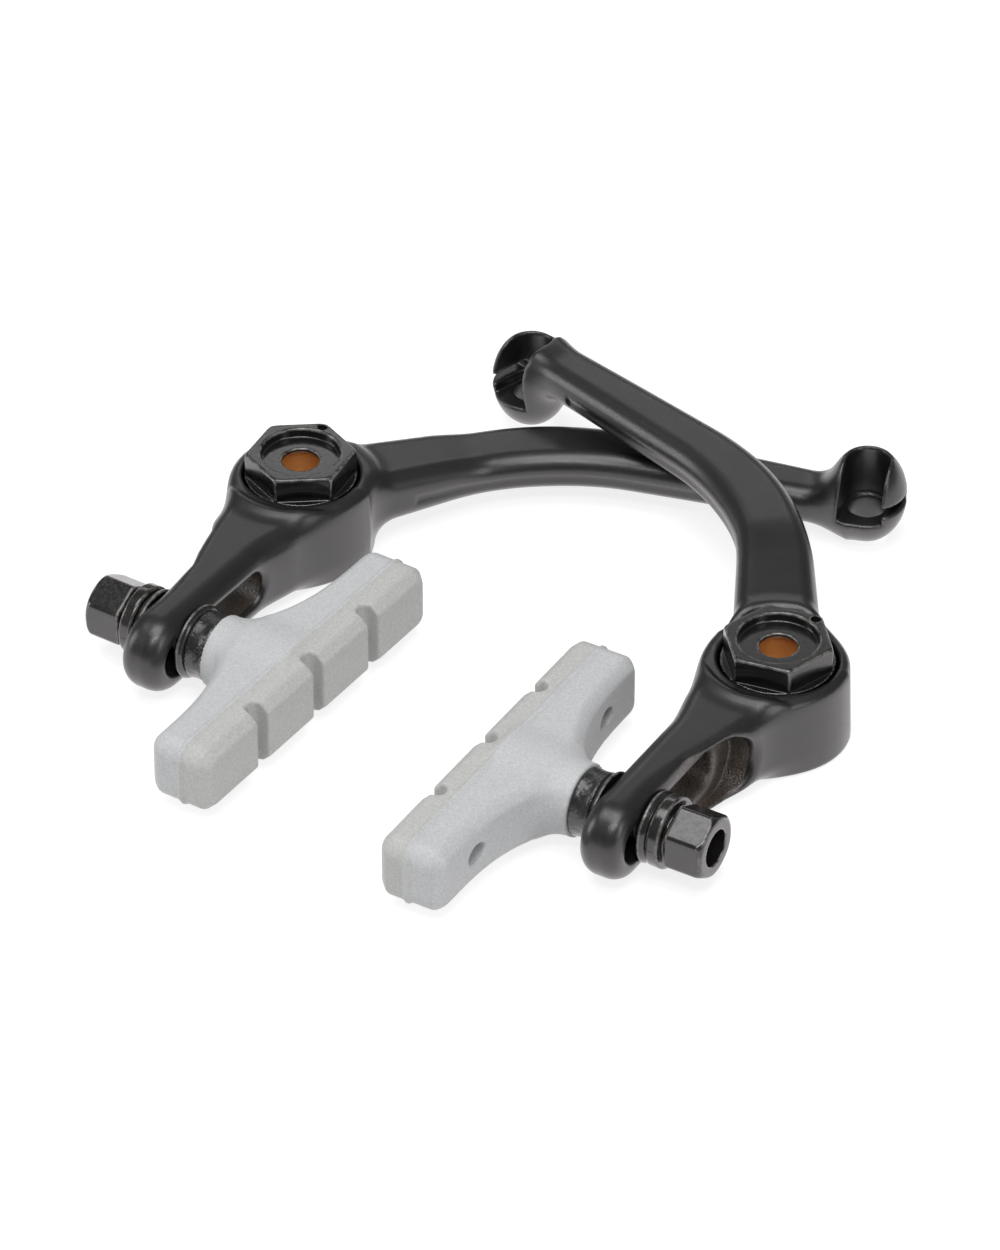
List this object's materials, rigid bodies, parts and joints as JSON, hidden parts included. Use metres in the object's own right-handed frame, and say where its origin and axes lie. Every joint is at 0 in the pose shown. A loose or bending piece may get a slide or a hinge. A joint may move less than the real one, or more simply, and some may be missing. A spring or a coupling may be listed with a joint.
{
  "type": "bicycle rim brake",
  "caption": "Cross-arm bicycle rim brake: forged arms with ball-shaped cable seats swing on bronze bushings under sprung hex nuts and press grooved rubber pads on a rim.",
  "frame": {"origin": "midway between the two pivot axes, on the plane that the arm bosses rest on", "axes": "+X from the left pivot to the right one, +Y away from the pads, +Z along the pivots away from the frame"},
  "size_m": [0.1176, 0.1323, 0.0186],
  "materials": {
    "anodised_black": "satin bead-blasted black anodising",
    "bronze": "turned bronze",
    "black_oxide": "glossy black plating",
    "spring_steel": "black spring wire",
    "grey_rubber": "moulded grey rubber",
    "stud_steel": "blackened threaded steel",
    "cast_black": "rough cast, blackened"
  },
  "bodies": {
    "posts": {"left_tension_nut": "black_oxide", "left_return_spring": "spring_steel", "right_tension_nut": "black_oxide", "right_return_spring": "spring_steel"},
    "left_arm": {"left_arm": "anodised_black", "left_pivot_bushing": "bronze", "left_brake_pad": "grey_rubber", "left_pad_stud": "stud_steel", "left_pad_spacer": "cast_black", "left_inner_washer": "black_oxide", "left_outer_washer": "black_oxide", "left_pad_nut": "black_oxide"},
    "right_arm": {"right_arm": "anodised_black", "right_pivot_bushing": "bronze", "right_brake_pad": "grey_rubber", "right_pad_stud": "stud_steel", "right_pad_spacer": "cast_black", "right_inner_washer": "black_oxide", "right_outer_washer": "black_oxide", "right_pad_nut": "black_oxide"}
  },
  "joints": [
    {"name": "left_arm_swing", "type": "hinge", "parent": "posts", "child": "left_arm", "pos_m": [-0.046, 0, 0], "axis": [0, 0, 1], "range_deg": [-6, 6], "stiffness_Nm_per_rad": 0.3, "deforming": ["left_return_spring"]},
    {"name": "right_arm_swing", "type": "hinge", "parent": "posts", "child": "right_arm", "pos_m": [0.046, 0, 0], "axis": [0, 0, 1], "range_deg": [-8, 3], "stiffness_Nm_per_rad": 0.3, "deforming": ["right_return_spring"]}
  ]
}
